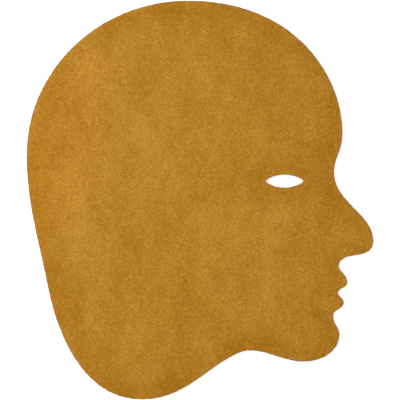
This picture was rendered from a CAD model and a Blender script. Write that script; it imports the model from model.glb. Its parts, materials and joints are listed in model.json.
import json
import math

import bpy
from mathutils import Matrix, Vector

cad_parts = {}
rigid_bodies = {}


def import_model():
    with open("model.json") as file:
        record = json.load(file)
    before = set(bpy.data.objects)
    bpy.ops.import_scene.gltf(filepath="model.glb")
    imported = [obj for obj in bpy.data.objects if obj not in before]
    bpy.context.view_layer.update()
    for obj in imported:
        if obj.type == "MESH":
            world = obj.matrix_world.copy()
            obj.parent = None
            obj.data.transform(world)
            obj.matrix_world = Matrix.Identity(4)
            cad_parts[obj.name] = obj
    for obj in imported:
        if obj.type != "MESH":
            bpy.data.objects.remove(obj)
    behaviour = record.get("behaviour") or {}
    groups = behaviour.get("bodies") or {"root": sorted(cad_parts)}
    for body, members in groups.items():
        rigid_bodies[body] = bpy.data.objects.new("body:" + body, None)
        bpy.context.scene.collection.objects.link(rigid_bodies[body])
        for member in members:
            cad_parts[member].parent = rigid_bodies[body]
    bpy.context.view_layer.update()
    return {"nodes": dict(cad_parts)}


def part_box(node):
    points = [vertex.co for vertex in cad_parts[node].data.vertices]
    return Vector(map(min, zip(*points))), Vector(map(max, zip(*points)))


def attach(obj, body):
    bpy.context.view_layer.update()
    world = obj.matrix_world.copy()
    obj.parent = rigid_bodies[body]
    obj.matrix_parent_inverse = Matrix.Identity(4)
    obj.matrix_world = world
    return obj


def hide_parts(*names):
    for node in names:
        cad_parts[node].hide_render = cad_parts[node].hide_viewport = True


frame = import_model()

# A flat tufted rug of short cut wool pile, in the outline of a head in profile, lying on a pale
# studio floor. Metres, +Z up, +X towards the nose and +Y towards the crown.

RUG_LOW, RUG_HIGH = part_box("rug")
RUG_WIDTH, RUG_LENGTH, RUG_THICKNESS = RUG_HIGH - RUG_LOW

# The backing cloth with its latex and foundation, under the pile.
BACKING_THICKNESS = 0.0025
SAME_HEIGHT = 0.0002  # heights nearer than this count as one
SAME_PLACE = 0.00001  # and so do corners nearer than this
BODY_CORNER_ANGLE = math.radians(40)  # the backing keeps crisp edges, and the shoulder is smooth

# The tufts open above the dense foot of the pile. Each has a ring of corners at its widest and a
# slightly raised middle, like a cut end of yarn.
TUFT_SIDES = 6
TUFT_RADIUS = 0.0038
TUFT_ROOT_DEPTH = 0.0034
TUFT_RISE = 0.0007
TUFT_CROWN = 0.0009
TUFT_UNEVENNESS = 0.0008
TUFT_MODELS = 6
TUFT_MAP = (0.26,)  # how far out on its map each ring of corners lies, from the top down
STRAND_MAP = (0.15, 0.32)
ROOT_ON_MAP = 0.47
CUT_END_ANGLE = math.radians(65)  # the shears leave a crisp ring round each cut end
PILE_FOOT_INSET = TUFT_RISE + TUFT_CROWN
TUFT_GIRTHS = (0.9, 1.12)  # how much of its model's girth and height a tuft has
TUFT_HEIGHTS = (0.8, 1.15)

# How the tufts are spread over the ground, and how they lean.
ROOT_SPACING = 0.00410
ROOTS_TRIED = 300_000  # for each square metre, before those that are too near are dropped
LOWEST_TUFT = 0.0104  # above the floor, where the shoulder of a cut edge begins
PILE_BANDS = 5
LAY_PATCH = 0.16  # size of the patches in which the pile lies one way
LAY_LEAN = 0.32  # how far a tuft leans with its patch, as a slope
WILD_LEAN = 0.14  # and in a way of its own
UPRIGHT_AT_EDGE = 1.3  # how much more a tuft on the shoulder stands up than out
RIM_WIDTH = 0.13  # the pile is darker this near to a cut edge
RIM_TURN = 0.035  # nearer the cut edge than this, the darker rim grows lighter again
RIM_AT_EDGE = 0.35
RIM_LEAN = 0.12

# Each random draw has a number of its own, which is added to the seed.
SEED = 11
LEAN_DRAW, TURN_DRAW, GIRTH_DRAW, HEIGHT_DRAW, SHADE_DRAW, MODEL_DRAW = range(1, 7)
STRAND_LEAN_DRAW, STRAND_STRETCH_DRAW, STRAND_GIRTH_DRAW = range(8, 11)
SAME_NUMBER = 0.1  # whole numbers nearer than this are one number

# Strands that stand up from the backing all along a cut edge and cover the side of the pile.
STRAND_SIDES = 5
STRAND_LENGTH = 0.009
STRAND_RADIUS = 0.0016
STRAND_NECK = 0.0010  # its radius just above its root
STRAND_NECK_HEIGHT = 0.0012
STRAND_ROOT_DEPTH = 0.0008
STRAND_TOP = 0.0138  # how high above the floor they end
STRAND_SPACING = 0.0021
STRANDS_TRIED = 500_000
LOWEST_STRAND = 0.0028  # above the floor, where strands have their roots
HIGHEST_STRAND = 0.0075
STRAND_SPLAY = 0.26  # how far they lean out from the rug, as a slope
STRAND_LEAN = 0.15
STRAND_MODELS = 3
STRAND_GIRTHS = (0.85, 1.15)
STRAND_STRETCHES = (0.9, 1.06)

# Wool, as a share from its deep tone to its light one.
YARN_DEEP = (0.332, 0.134, 0.0004, 1)
YARN_LIGHT = (0.550, 0.278, 0.0365, 1)
YARN_ROOT = (0.390, 0.158, 0.0060, 1)
MOTTLE_SIZE = 0.24  # the broadest patches of deeper and lighter pile, with finer ones in them
MOTTLE_STRETCH = (1, 0.62, 1)  # the pile is brushed along the rug, so patches are longer that way
MOTTLE_STEPS = 5
MOTTLE_EVENNESS = 0.85  # how strong each finer size is beside the one before
CLUMP_SIZE = 0.009  # a few tufts that lie together
FIBRE_SIZE = 0.0010
FIBRE_STRETCH = (1, 1, 0.3)  # fibres run up the tufts
FIBRE_BUMP = 0.0020
WOOL_ROUGHNESS = 0.95
SPECULAR = 0.2  # wool and cotton hardly shine

# The backing cloth is a plain weave of undyed threads.
BACKING_CLOTH = (0.56, 0.49, 0.38, 1)
BETWEEN_THREADS = (0.308, 0.2695, 0.209, 1)
CLOTH_ROUGHNESS = 0.9
THREAD_PITCH = 0.0016
THREAD_WAVER = 0.6
THREAD_BUMP = 0.0004
WAVE_RADIANS = 20  # a Wave texture of scale 1 turns through this angle in a metre
CLOTH_PATCH = 0.0714
CLOTH_PATCH_STRENGTH = 0.24
WEAVE_STRENGTH = 0.12

# The picture and its light.
PICTURE_WIDTH = 1.847  # of what it shows at the height of the pile
LENS = 100
SENSOR = 36
FLOOR_SIDE = 60
FLOOR_GAP = 0.0003
FLOOR_WHITE = (0.9, 0.9, 0.9, 1)
FLOOR_ROUGHNESS = 0.9
WHITE = (1, 1, 1, 1)
FLOOR_GLOW = 0.27  # a studio sheet lit from below too, so the rug lies on plain white
LAMP_PLACE = (-2.6, 0.9, 2.7)
LAMP_ACROSS = 2.4
LAMP_POWER = 72


def deselect_all():
    bpy.ops.object.select_all(action="DESELECT")


def make_active(piece):
    deselect_all()
    piece.select_set(True)
    bpy.context.view_layer.objects.active = piece


def edit(piece, select_mode="FACE"):
    """Goes into edit mode on one piece with nothing selected."""
    make_active(piece)
    bpy.ops.object.mode_set(mode="EDIT")
    bpy.ops.mesh.select_mode(type=select_mode)
    bpy.ops.mesh.select_all(action="DESELECT")
    bpy.ops.object.mode_set(mode="OBJECT")


def done():
    bpy.ops.object.mode_set(mode="OBJECT")


def node(tree, kind, inputs=None, **settings):
    """A new node. Each of inputs is a socket's name or number, with a value or an output."""
    made = tree.nodes.new(kind)
    for name, value in settings.items():
        setattr(made, name, value)
    for key, value in (inputs or {}).items():
        if isinstance(value, bpy.types.NodeSocket):
            tree.links.new(value, made.inputs[key])
        else:
            made.inputs[key].default_value = value
    return made


def math_node(tree, operation, *values, clamp=False):
    """The output of a Math node."""
    return node(
        tree, "ShaderNodeMath", dict(enumerate(values)), operation=operation, use_clamp=clamp
    ).outputs[0]


def vector_node(tree, operation, *values):
    """The vector that comes out of a Vector Math node. A number scales a vector."""
    inputs = dict(enumerate(values))
    if operation == "SCALE":
        inputs = {0: values[0], "Scale": values[1]}
    return node(tree, "ShaderNodeVectorMath", inputs, operation=operation).outputs["Vector"]


def colour_mix(tree, share, first, second):
    """A colour mixed from two. A Mix node keeps sockets of one name for each kind of data, so its
    colours go by number."""
    return node(tree, "ShaderNodeMix", {0: share, 6: first, 7: second}, data_type="RGBA").outputs[2]


# Materials


def wool_tone_group():
    """The tone of the pile, from its roots to its tips. Patches come from the way the pile lies
    and grain from single tufts, both as a share from the deep to the light yarn."""
    tree = bpy.data.node_groups.new("wool tone", "ShaderNodeTree")
    sockets = [
        ("Coordinates", "NodeSocketVector", None),
        ("Deep", "NodeSocketColor", YARN_DEEP),
        ("Light", "NodeSocketColor", YARN_LIGHT),
        ("Root", "NodeSocketColor", YARN_ROOT),
        ("Up the Tuft", "NodeSocketFloat", 0.0),
        ("Tuft Shade", "NodeSocketFloat", 0.0),
        ("Tuft Strength", "NodeSocketFloat", 0.34),
        ("Mottle Strength", "NodeSocketFloat", 1.8),
        ("Clump Strength", "NodeSocketFloat", 0.8),
        ("Fibre Strength", "NodeSocketFloat", 1.4),
        ("Rim", "NodeSocketFloat", 0.0),
        ("Rim Strength", "NodeSocketFloat", 0.24),
    ]
    for name, kind, value in sockets:
        socket = tree.interface.new_socket(name, in_out="INPUT", socket_type=kind)
        if value is not None:
            socket.default_value = value
    tree.interface.new_socket("Colour", in_out="OUTPUT", socket_type="NodeSocketColor")
    tree.interface.new_socket("Fibres", in_out="OUTPUT", socket_type="NodeSocketFloat")
    start = tree.nodes.new("NodeGroupInput").outputs

    def noise(place, size, **details):
        """Noise about zero, in patches of that size in metres."""
        texture = node(tree, "ShaderNodeTexNoise", {"Vector": place, "Scale": 1 / size, **details})
        return math_node(tree, "SUBTRACT", texture.outputs["Fac"], 0.5)

    brushed = vector_node(tree, "MULTIPLY", start["Coordinates"], MOTTLE_STRETCH)
    mottle = noise(brushed, MOTTLE_SIZE, Detail=MOTTLE_STEPS, Roughness=MOTTLE_EVENNESS)
    clumps = noise(start["Coordinates"], CLUMP_SIZE, Detail=0.0)
    along = vector_node(tree, "MULTIPLY", start["Coordinates"], FIBRE_STRETCH)
    fibres = noise(along, FIBRE_SIZE, Detail=2.0, Roughness=0.6)
    share = math_node(tree, "MULTIPLY_ADD", mottle, start["Mottle Strength"], 0.5)
    share = math_node(tree, "MULTIPLY_ADD", clumps, start["Clump Strength"], share)
    share = math_node(tree, "MULTIPLY_ADD", start["Tuft Shade"], start["Tuft Strength"], share)
    share = math_node(tree, "MULTIPLY_ADD", fibres, start["Fibre Strength"], share)
    rim = math_node(tree, "MULTIPLY", start["Rim"], start["Rim Strength"])
    share = math_node(tree, "SUBTRACT", share, rim, clamp=True)
    yarn = colour_mix(tree, share, start["Deep"], start["Light"])
    whole = colour_mix(tree, start["Up the Tuft"], start["Root"], yarn)

    end = tree.nodes.new("NodeGroupOutput")
    tree.links.new(whole, end.inputs["Colour"])
    tree.links.new(fibres, end.inputs["Fibres"])
    return tree


def new_material(name, roughness):
    """A material with a plain Principled shader, its tree and that shader."""
    material = bpy.data.materials.new(name)
    material.use_nodes = True
    tree = material.node_tree
    shader = tree.nodes["Principled BSDF"]
    shader.inputs["Roughness"].default_value = roughness
    shader.inputs["Specular IOR Level"].default_value = SPECULAR
    return material, tree, shader


def wool_material(name, tone_group, reads_tufts):
    """Cut wool. The tufts read their own attributes, and the foot of the pile has none."""
    material, tree, shader = new_material(name, WOOL_ROUGHNESS)
    place = node(tree, "ShaderNodeTexCoord").outputs["Object"]
    tone = node(tree, "ShaderNodeGroup", node_tree=tone_group)
    tree.links.new(place, tone.inputs["Coordinates"])
    if reads_tufts:
        for attribute, socket in (
            ("up_the_tuft", "Up the Tuft"),
            ("tuft_shade", "Tuft Shade"),
            ("rim", "Rim"),
        ):
            reader = node(tree, "ShaderNodeAttribute", attribute_name=attribute)
            tree.links.new(reader.outputs["Fac"], tone.inputs[socket])
    bump = node(tree, "ShaderNodeBump", {"Strength": 1.0, "Distance": FIBRE_BUMP})
    tree.links.new(tone.outputs["Fibres"], bump.inputs["Height"])
    tree.links.new(tone.outputs["Colour"], shader.inputs["Base Color"])
    tree.links.new(bump.outputs["Normal"], shader.inputs["Normal"])
    return material


def backing_material():
    """Plain woven backing cloth, with its threads over and under each other."""
    material, tree, shader = new_material("backing cloth", CLOTH_ROUGHNESS)
    place = node(tree, "ShaderNodeTexCoord").outputs["Object"]
    threads = []
    for direction in "XY":
        wave = node(
            tree,
            "ShaderNodeTexWave",
            {
                "Vector": place,
                "Scale": math.tau / (WAVE_RADIANS * THREAD_PITCH),
                "Distortion": THREAD_WAVER,
            },
            bands_direction=direction,
        )
        threads.append(wave.outputs["Fac"])
    weave = math_node(tree, "MULTIPLY", *threads)
    patches = node(
        tree, "ShaderNodeTexNoise", {"Vector": place, "Scale": 1 / CLOTH_PATCH, "Detail": 3.0}
    ).outputs["Fac"]
    tone = math_node(
        tree, "MULTIPLY_ADD", patches, CLOTH_PATCH_STRENGTH, 1 - CLOTH_PATCH_STRENGTH
    )
    tone = math_node(tree, "MULTIPLY_ADD", weave, WEAVE_STRENGTH, tone)
    colour = colour_mix(tree, tone, BETWEEN_THREADS, BACKING_CLOTH)
    bump = node(
        tree, "ShaderNodeBump", {"Strength": 0.6, "Distance": THREAD_BUMP, "Height": weave}
    )
    tree.links.new(colour, shader.inputs["Base Color"])
    tree.links.new(bump.outputs["Normal"], shader.inputs["Normal"])
    return material


# The backing and the foot of the pile


def rug_copy():
    """The rug's own solid as one mesh, without the shading that came with it."""
    rug = bpy.data.objects.new("rug_copy", frame["nodes"]["rug"].data.copy())
    bpy.context.scene.collection.objects.link(rug)
    rug.data.materials.clear()
    edit(rug)
    bpy.ops.object.mode_set(mode="EDIT")
    bpy.ops.mesh.select_all(action="SELECT")
    bpy.ops.mesh.remove_doubles(threshold=SAME_PLACE)
    done()
    bpy.ops.mesh.customdata_custom_splitnormals_clear()
    return rug


def without(piece, leave_out):
    """The piece without the faces that leave_out is true of."""
    edit(piece)
    for face in piece.data.polygons:
        face.select = leave_out(piece.data, face)
    bpy.ops.object.mode_set(mode="EDIT")
    bpy.ops.mesh.delete(type="FACE")
    done()
    return piece


def is_backing(mesh, face):
    """True on the underside and on the cut edge of the backing, below the pile."""
    top = max(mesh.vertices[i].co.z for i in face.vertices)
    return top < BACKING_THICKNESS + SAME_HEIGHT


def is_pile(mesh, face):
    return not is_backing(mesh, face)


def looks_down(mesh, face):
    return face.normal.z < -0.9


def closed(piece):
    """Fills the level opening of a piece, leaving the eye open, so that it is a solid again."""
    edit(piece, "EDGE")
    bpy.ops.object.mode_set(mode="EDIT")
    bpy.ops.mesh.select_non_manifold()
    bpy.ops.mesh.fill()
    bpy.ops.mesh.select_all(action="SELECT")
    bpy.ops.mesh.normals_make_consistent(inside=False)
    done()


def finished(piece, name, material):
    """A piece with its name, its material and its shading."""
    piece.name = name
    piece.data.materials.append(material)
    make_active(piece)
    bpy.ops.object.shade_smooth_by_angle(angle=BODY_CORNER_ANGLE)
    return piece


def backing_of(rug, cloth):
    """The backing cloth with its latex and foundation, as one slab."""
    backing = without(rug, is_pile)
    closed(backing)
    return finished(backing, "backing", cloth)


def foot_of(rug, wool):
    """The dense foot of the pile. It stays inside the rug's outline and sheared top by the height
    to which the tufts stand out of it."""
    foot = without(rug, is_backing)
    closed(foot)
    edit(foot, "VERT")
    for corner in foot.data.vertices:
        corner.select = corner.co.z > BACKING_THICKNESS + SAME_HEIGHT
    bpy.ops.object.mode_set(mode="EDIT")
    bpy.ops.transform.shrink_fatten(value=-PILE_FOOT_INSET, use_even_offset=True)
    done()
    return finished(foot, "pile_foot", wool)


# The pile


def select_top(piece):
    """Leaves only the faces that look up selected, in edit mode."""
    edit(piece)
    for face in piece.data.polygons:
        face.select = face.normal.z > 0.9
    bpy.ops.object.mode_set(mode="EDIT")


def finish_tuft(tuft, number, wool, radii):
    """Raises the middle of the cut end, makes its corners uneven, shades it with a crisp ring and
    marks how far up the tuft each corner is."""
    select_top(tuft)
    bpy.ops.mesh.poke(offset=TUFT_CROWN)
    done()
    edit(tuft, "VERT")
    for corner in tuft.data.vertices:
        corner.select = corner.co.z > 0
    bpy.ops.object.mode_set(mode="EDIT")
    bpy.ops.transform.vertex_random(offset=TUFT_UNEVENNESS, seed=SEED + number)
    bpy.ops.mesh.select_all(action="SELECT")
    bpy.ops.mesh.remove_doubles(threshold=SAME_PLACE)
    bpy.ops.mesh.normals_make_consistent(inside=False)
    done()
    make_active(tuft)
    bpy.ops.object.shade_smooth_by_angle(angle=CUT_END_ANGLE)

    tuft.data.materials.append(wool)
    low = min(corner.co.z for corner in tuft.data.vertices)
    high = max(corner.co.z for corner in tuft.data.vertices)
    up = tuft.data.attributes.new("up_the_tuft", "FLOAT", "POINT")
    for corner, value in zip(tuft.data.vertices, up.data):
        value.value = (corner.co.z - low) / (high - low)
    star_map(tuft.data, radii)
    return tuft


def tuft_model(number, wool):
    """A tuft seen from above, narrow at its root and open at its sheared end."""
    depth = TUFT_ROOT_DEPTH + TUFT_RISE
    deselect_all()
    bpy.ops.mesh.primitive_cone_add(
        vertices=TUFT_SIDES,
        radius1=0,
        radius2=TUFT_RADIUS,
        depth=depth,
        location=(0, 0, TUFT_RISE - depth / 2),
    )
    tuft = bpy.context.object
    tuft.name = f"tuft_{number}"
    bpy.ops.object.transform_apply(location=True, rotation=True, scale=True)
    return finish_tuft(tuft, number, wool, TUFT_MAP)


def strand_model(number, wool):
    """A tuft seen from the side, from a neck at the backing up to its sheared end."""
    depth = STRAND_ROOT_DEPTH + STRAND_NECK_HEIGHT
    deselect_all()
    bpy.ops.mesh.primitive_cone_add(
        vertices=STRAND_SIDES,
        radius1=0,
        radius2=STRAND_NECK,
        depth=depth,
        location=(0, 0, STRAND_NECK_HEIGHT - depth / 2),
    )
    strand = bpy.context.object
    strand.name = f"strand_{number}"
    bpy.ops.object.transform_apply(location=True, rotation=True, scale=True)
    select_top(strand)
    rise = STRAND_LENGTH - STRAND_NECK_HEIGHT
    bpy.ops.mesh.extrude_region_move(TRANSFORM_OT_translate={"value": (0, 0, rise)})
    bpy.ops.transform.resize(value=(STRAND_RADIUS / STRAND_NECK,) * 2 + (1,))
    done()
    return finish_tuft(strand, number, wool, STRAND_MAP)


def star_map(mesh, radii):
    """Maps a tuft into the unit square: its middle at the centre, its rings of corners round it
    from the top down, and its root once for each side, as the point of a petal."""
    for old in list(mesh.uv_layers):
        mesh.uv_layers.remove(old)
    layer = mesh.uv_layers.new(name="OFBake")
    root = min(mesh.vertices, key=lambda corner: corner.co.z).index
    middle = min(
        (corner for corner in mesh.vertices if corner.index != root),
        key=lambda corner: corner.co.xy.length,
    ).index
    rings = [corner for corner in mesh.vertices if corner.index not in (root, middle)]
    rings.sort(key=lambda corner: -corner.co.z)
    sides = len(rings) // len(radii)
    out = {corner.index: radii[place // sides] for place, corner in enumerate(rings)}
    for face in mesh.polygons:
        around = [mesh.vertices[i].co.xy.normalized() for i in face.vertices if i in out]
        petal = sum(around, Vector((0, 0))).normalized() * ROOT_ON_MAP
        for loop in face.loop_indices:
            corner = mesh.loops[loop].vertex_index
            if corner == root:
                at = petal
            elif corner == middle:
                at = Vector((0, 0))
            else:
                at = mesh.vertices[corner].co.xy.normalized() * out[corner]
            layer.data[loop].uv = at + Vector((0.5, 0.5))


def hidden_collection(name, models):
    """A collection that only holds the models to be copied."""
    collection = bpy.data.collections.new(name)
    for model in models:
        for holder in model.users_collection:
            holder.objects.unlink(model)
        collection.objects.link(model)
    return collection


def clear_collection(collection):
    for model in list(collection.objects):
        bpy.data.objects.remove(model)
    bpy.data.collections.remove(collection)


# How the pile is spread


def new_pile_group(name, numbers=()):
    """Geometry nodes that make a pile of a ground and of some whole numbers."""
    tree = bpy.data.node_groups.new(name, "GeometryNodeTree")
    tree.interface.new_socket("Ground", in_out="INPUT", socket_type="NodeSocketGeometry")
    for number in numbers:
        tree.interface.new_socket(number, in_out="INPUT", socket_type="NodeSocketInt")
    tree.interface.new_socket("Pile", in_out="OUTPUT", socket_type="NodeSocketGeometry")
    return tree, tree.nodes.new("NodeGroupInput").outputs


def random_number(tree, low, high, draw):
    """A number of its own for each point. Each draw gives other numbers."""
    inputs = {2: low, 3: high, "Seed": SEED + draw}
    return node(tree, "FunctionNodeRandomValue", inputs, data_type="FLOAT").outputs[1]


def random_way(tree, reach, draw):
    """A vector that points any way, up to that far along each axis."""
    inputs = {0: (-reach,) * 3, 1: (reach,) * 3, "Seed": SEED + draw}
    return node(tree, "FunctionNodeRandomValue", inputs, data_type="FLOAT_VECTOR").outputs[0]


def height_of(tree, position):
    """How high above the floor a place is."""
    return node(tree, "ShaderNodeSeparateXYZ", {0: position}).outputs["Z"]


def deleted(tree, points, selection):
    """The points that aren't selected."""
    inputs = {"Geometry": points, "Selection": selection}
    return node(tree, "GeometryNodeDeleteGeometry", inputs, domain="POINT").outputs[0]


def stored(tree, geometry, name, value, kind="FLOAT", domain="POINT"):
    """The geometry with a value kept under a name."""
    inputs = {"Geometry": geometry, "Name": name, "Value": value}
    return node(
        tree, "GeometryNodeStoreNamedAttribute", inputs, data_type=kind, domain=domain
    ).outputs[0]


def read_back(tree, name, kind):
    """A value that stored has kept."""
    inputs = {"Name": name}
    return node(tree, "GeometryNodeInputNamedAttribute", inputs, data_type=kind).outputs[0]


def spread_roots(tree, ground, spacing, tried, lowest, highest):
    """Roots at random on the ground between two heights, apart from each other. Gives them, the
    ground's normal at each and where they are."""
    spread = node(
        tree,
        "GeometryNodeDistributePointsOnFaces",
        {
            "Mesh": ground,
            "Distance Min": spacing,
            "Density Max": float(tried),
            "Seed": SEED,
        },
        distribute_method="POISSON",
    ).outputs
    position = node(tree, "GeometryNodeInputPosition").outputs[0]
    height = height_of(tree, position)
    roots = deleted(tree, spread["Points"], math_node(tree, "LESS_THAN", height, lowest))
    roots = deleted(tree, roots, math_node(tree, "GREATER_THAN", height, highest))
    return roots, spread["Normal"], position


def nearest_cut_edge(tree, ground, position):
    """How far a root is from the nearest cut edge, and the level way out to it. The ground has no
    underside, so it ends at the cut edges."""
    neighbours = node(tree, "GeometryNodeInputMeshEdgeNeighbors").outputs[0]
    at_the_end = math_node(tree, "COMPARE", neighbours, 1.0, SAME_NUMBER)
    cut_edges = node(
        tree,
        "GeometryNodeSeparateGeometry",
        {"Geometry": ground, "Selection": at_the_end},
        domain="EDGE",
    ).outputs[0]
    nearest = node(
        tree, "GeometryNodeProximity", {"Geometry": cut_edges}, target_element="EDGES"
    ).outputs
    outward = vector_node(tree, "SUBTRACT", nearest["Position"], position)
    outward = vector_node(tree, "MULTIPLY", outward, (1, 1, 0))
    return nearest["Distance"], vector_node(tree, "NORMALIZE", outward)


def eased(tree, distance, over, first, last):
    """A number that goes smoothly from first at no distance to last."""
    return node(
        tree,
        "ShaderNodeMapRange",
        {"Value": distance, 1: 0.0, 2: over, 3: first, 4: last},
        interpolation_type="SMOOTHSTEP",
    ).outputs[0]


def planted(tree, roots, models, count, heading, size):
    """Copies of the models on the roots, turned at random about their heading, as one mesh."""
    upright = node(
        tree, "FunctionNodeAlignRotationToVector", {"Vector": heading}, axis="Z"
    ).outputs[0]
    turned = node(
        tree,
        "FunctionNodeAxisAngleToRotation",
        {"Axis": (0, 0, 1), "Angle": random_number(tree, 0, math.tau, TURN_DRAW)},
    ).outputs[0]
    rotation = node(
        tree,
        "FunctionNodeRotateRotation",
        {"Rotation": upright, "Rotate By": turned},
        rotation_space="LOCAL",
    ).outputs[0]
    chosen = node(
        tree,
        "GeometryNodeCollectionInfo",
        {"Collection": models, "Separate Children": True, "Reset Children": True},
    ).outputs[0]
    which = node(
        tree,
        "FunctionNodeRandomValue",
        {4: 0, 5: count - 1, "Seed": SEED + MODEL_DRAW},
        data_type="INT",
    ).outputs[2]
    copies = node(
        tree,
        "GeometryNodeInstanceOnPoints",
        {
            "Points": roots,
            "Instance": chosen,
            "Pick Instance": True,
            "Instance Index": which,
            "Rotation": rotation,
            "Scale": size,
        },
    ).outputs[0]
    return node(tree, "GeometryNodeRealizeInstances", {"Geometry": copies}).outputs[0]


def numbered(tree, roots):
    """Roots with their numbers, which their copies keep."""
    return stored(tree, roots, "tuft_number", node(tree, "GeometryNodeInputIndex").outputs[0])


def in_own_cells(tree, pile, how_many):
    """Gives each numbered copy a square cell of its own in the map, in rows."""
    across = math_node(tree, "CEIL", math_node(tree, "SQRT", how_many))
    number = read_back(tree, "tuft_number", "FLOAT")
    rows_up = math_node(tree, "DIVIDE", math_node(tree, "ADD", number, 0.5), across)
    row = math_node(tree, "FLOOR", rows_up)
    column = math_node(tree, "SUBTRACT", number, math_node(tree, "MULTIPLY", row, across))
    cell = node(tree, "ShaderNodeCombineXYZ", {"X": column, "Y": row}).outputs[0]
    at = vector_node(tree, "ADD", read_back(tree, "OFBake", "FLOAT_VECTOR"), cell)
    at = vector_node(tree, "SCALE", at, math_node(tree, "DIVIDE", 1.0, across))
    return stored(tree, pile, "OFBake", at, kind="FLOAT2", domain="CORNER")


def point_count(tree, points):
    return node(
        tree, "GeometryNodeAttributeDomainSize", {0: points}, component="POINTCLOUD"
    ).outputs["Point Count"]


def finish_pile(tree, pile):
    end = tree.nodes.new("NodeGroupOutput")
    tree.links.new(pile, end.inputs["Pile"])
    return tree


def cut_pile_group(models):
    """Tufts a ground. Its roots are put in order from the foot of the neck to the crown, and one
    band of them gets its tufts."""
    tree, start = new_pile_group("cut pile", ("Band", "Bands"))
    roots, normal, position = spread_roots(
        tree, start["Ground"], ROOT_SPACING, ROOTS_TRIED, LOWEST_TUFT, RUG_THICKNESS
    )
    forward = node(tree, "ShaderNodeSeparateXYZ", {0: position}).outputs["Y"]
    in_rows = node(
        tree,
        "GeometryNodeSortElements",
        {"Geometry": roots, "Sort Weight": forward},
        domain="POINT",
    ).outputs[0]
    in_each = math_node(tree, "DIVIDE", point_count(tree, in_rows), start["Bands"])
    in_each = math_node(tree, "CEIL", in_each)
    index = node(tree, "GeometryNodeInputIndex").outputs[0]
    own_band = math_node(tree, "FLOOR", math_node(tree, "DIVIDE", index, in_each))
    here = math_node(tree, "COMPARE", own_band, start["Band"], SAME_NUMBER)
    roots = deleted(tree, in_rows, math_node(tree, "SUBTRACT", 1.0, here))

    to_edge, outward = nearest_cut_edge(tree, start["Ground"], position)
    near_edge = eased(tree, to_edge, RIM_WIDTH, 1.0, 0.0)
    turn_of_rim = eased(tree, to_edge, RIM_TURN, RIM_AT_EDGE, 1.0)
    rim = math_node(tree, "MULTIPLY", near_edge, turn_of_rim)

    # Each tuft stands on its ground and leans with its patch, at random and out at the rim.
    standing = vector_node(tree, "ADD", normal, (0, 0, UPRIGHT_AT_EDGE))
    standing = vector_node(tree, "NORMALIZE", standing)
    lay = node(
        tree, "ShaderNodeTexNoise", {"Vector": position, "Scale": 1 / LAY_PATCH, "Detail": 2.0}
    ).outputs["Color"]
    lay = vector_node(tree, "SUBTRACT", lay, (0.5, 0.5, 0.5))
    lay = vector_node(tree, "SCALE", lay, LAY_LEAN)
    over = math_node(tree, "MULTIPLY", near_edge, RIM_LEAN)
    over = vector_node(tree, "SCALE", outward, over)
    heading = vector_node(tree, "ADD", standing, lay)
    heading = vector_node(tree, "ADD", heading, random_way(tree, WILD_LEAN, LEAN_DRAW))
    heading = vector_node(tree, "ADD", heading, over)
    girth = random_number(tree, *TUFT_GIRTHS, GIRTH_DRAW)
    height = random_number(tree, *TUFT_HEIGHTS, HEIGHT_DRAW)
    size = node(tree, "ShaderNodeCombineXYZ", {"X": girth, "Y": girth, "Z": height}).outputs[0]

    roots = stored(tree, roots, "tuft_shade", random_number(tree, -0.5, 0.5, SHADE_DRAW))
    roots = stored(tree, roots, "rim", rim)
    roots = numbered(tree, roots)
    pile = planted(tree, roots, models, TUFT_MODELS, heading, size)
    return finish_pile(tree, in_own_cells(tree, pile, in_each))


def edge_strands_group(models):
    """Stands strands on the side of a ground, low down, so that they reach its shoulder."""
    tree, start = new_pile_group("edge strands")
    roots, normal, position = spread_roots(
        tree, start["Ground"], STRAND_SPACING, STRANDS_TRIED, LOWEST_STRAND, HIGHEST_STRAND
    )
    splay = vector_node(tree, "MULTIPLY", normal, (STRAND_SPLAY, STRAND_SPLAY, 0))
    heading = vector_node(tree, "ADD", splay, (0, 0, 1))
    heading = vector_node(tree, "ADD", heading, random_way(tree, STRAND_LEAN, STRAND_LEAN_DRAW))
    length = math_node(tree, "SUBTRACT", STRAND_TOP, height_of(tree, position))
    stretch = math_node(tree, "DIVIDE", length, STRAND_LENGTH)
    uneven = random_number(tree, *STRAND_STRETCHES, STRAND_STRETCH_DRAW)
    stretch = math_node(tree, "MULTIPLY", stretch, uneven)
    girth = random_number(tree, *STRAND_GIRTHS, STRAND_GIRTH_DRAW)
    size = node(tree, "ShaderNodeCombineXYZ", {"X": girth, "Y": girth, "Z": stretch}).outputs[0]
    roots = stored(tree, roots, "tuft_shade", random_number(tree, -0.5, 0.5, SHADE_DRAW))
    roots = stored(tree, roots, "rim", RIM_AT_EDGE)
    roots = numbered(tree, roots)
    pile = planted(tree, roots, models, STRAND_MODELS, heading, size)
    return finish_pile(tree, in_own_cells(tree, pile, point_count(tree, roots)))


def pile_ground(foot):
    """The foot of the pile without its underside, for roots to be spread on."""
    ground = bpy.data.objects.new("pile_ground", foot.data.copy())
    bpy.context.scene.collection.objects.link(ground)
    return without(ground, looks_down)


def grown_on(ground, name, group, numbers=None):
    """A new piece that the group makes of the ground."""
    piece = bpy.data.objects.new(name, ground.data.copy())
    bpy.context.scene.collection.objects.link(piece)
    make_active(piece)
    modifier = piece.modifiers.new(group.name, "NODES")
    modifier.node_group = group
    for item in group.interface.items_tree:
        if item.name in (numbers or {}):
            modifier[item.identifier] = numbers[item.name]
    bpy.ops.object.modifier_apply(modifier=modifier.name)
    return piece


def cut_pile(ground, wool):
    """The tufts in bands from the foot of the neck to the crown, each one joined mesh."""
    models = [tuft_model(number, wool) for number in range(TUFT_MODELS)]
    models = hidden_collection("tuft models", models)
    group = cut_pile_group(models)
    bands = [
        grown_on(ground, f"pile_band_{band + 1}", group, {"Band": band, "Bands": PILE_BANDS})
        for band in range(PILE_BANDS)
    ]
    clear_collection(models)
    return bands


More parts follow.
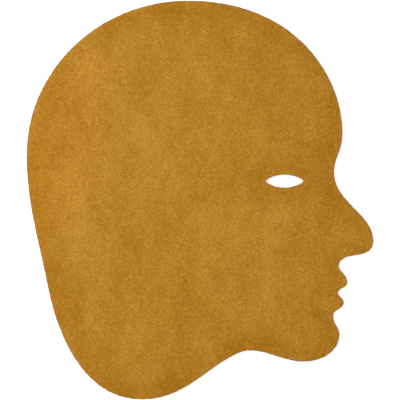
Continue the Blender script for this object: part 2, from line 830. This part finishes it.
def edge_strands(ground, wool):
    """The strands along every cut edge, as one joined mesh."""
    models = [strand_model(number, wool) for number in range(STRAND_MODELS)]
    models = hidden_collection("strand models", models)
    strands = grown_on(ground, "edge_strands", edge_strands_group(models))
    clear_collection(models)
    return strands


# The studio


def studio():
    """A plain pale floor, a broad soft light from the upper left, and the camera above."""
    bpy.ops.mesh.primitive_plane_add(size=FLOOR_SIDE, location=(0, 0, -FLOOR_GAP))
    floor = bpy.context.object
    floor.name = "floor"
    material, _, shader = new_material("pale floor", FLOOR_ROUGHNESS)
    shader.inputs["Base Color"].default_value = FLOOR_WHITE
    shader.inputs["Emission Color"].default_value = WHITE
    shader.inputs["Emission Strength"].default_value = FLOOR_GLOW
    floor.data.materials.append(material)

    world = bpy.data.worlds.new("soft white room")
    world.use_nodes = True
    world.node_tree.nodes["Background"].inputs["Color"].default_value = WHITE
    world.node_tree.nodes["Background"].inputs["Strength"].default_value = 1.0
    bpy.context.scene.world = world

    bpy.ops.object.light_add(type="AREA", location=LAMP_PLACE)
    lamp = bpy.context.object
    lamp.name = "soft light"
    lamp.data.shape = "DISK"
    lamp.data.size = LAMP_ACROSS
    lamp.data.energy = LAMP_POWER
    lamp.rotation_euler = (-lamp.location).to_track_quat("-Z", "Y").to_euler()
    lamp.visible_camera = False

    height = PICTURE_WIDTH * LENS / SENSOR
    bpy.ops.object.camera_add(location=(0, 0, height + RUG_THICKNESS), rotation=(0, 0, 0))
    camera = bpy.context.object
    camera.data.lens = LENS
    camera.data.sensor_width = SENSOR
    camera.data.clip_end = 100
    bpy.context.scene.camera = camera
    bpy.context.scene.view_settings.view_transform = "Standard"


studio()
tone = wool_tone_group()
backing = backing_of(rug_copy(), backing_material())
foot = foot_of(rug_copy(), wool_material("foot of the pile", tone, False))
wool = wool_material("cut wool pile", tone, True)
ground = pile_ground(foot)
pile = [*cut_pile(ground, wool), edge_strands(ground, wool)]
bpy.data.objects.remove(ground)

for piece in [backing, foot, *pile]:
    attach(piece, "root")
for piece in [backing, foot]:
    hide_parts("rug")
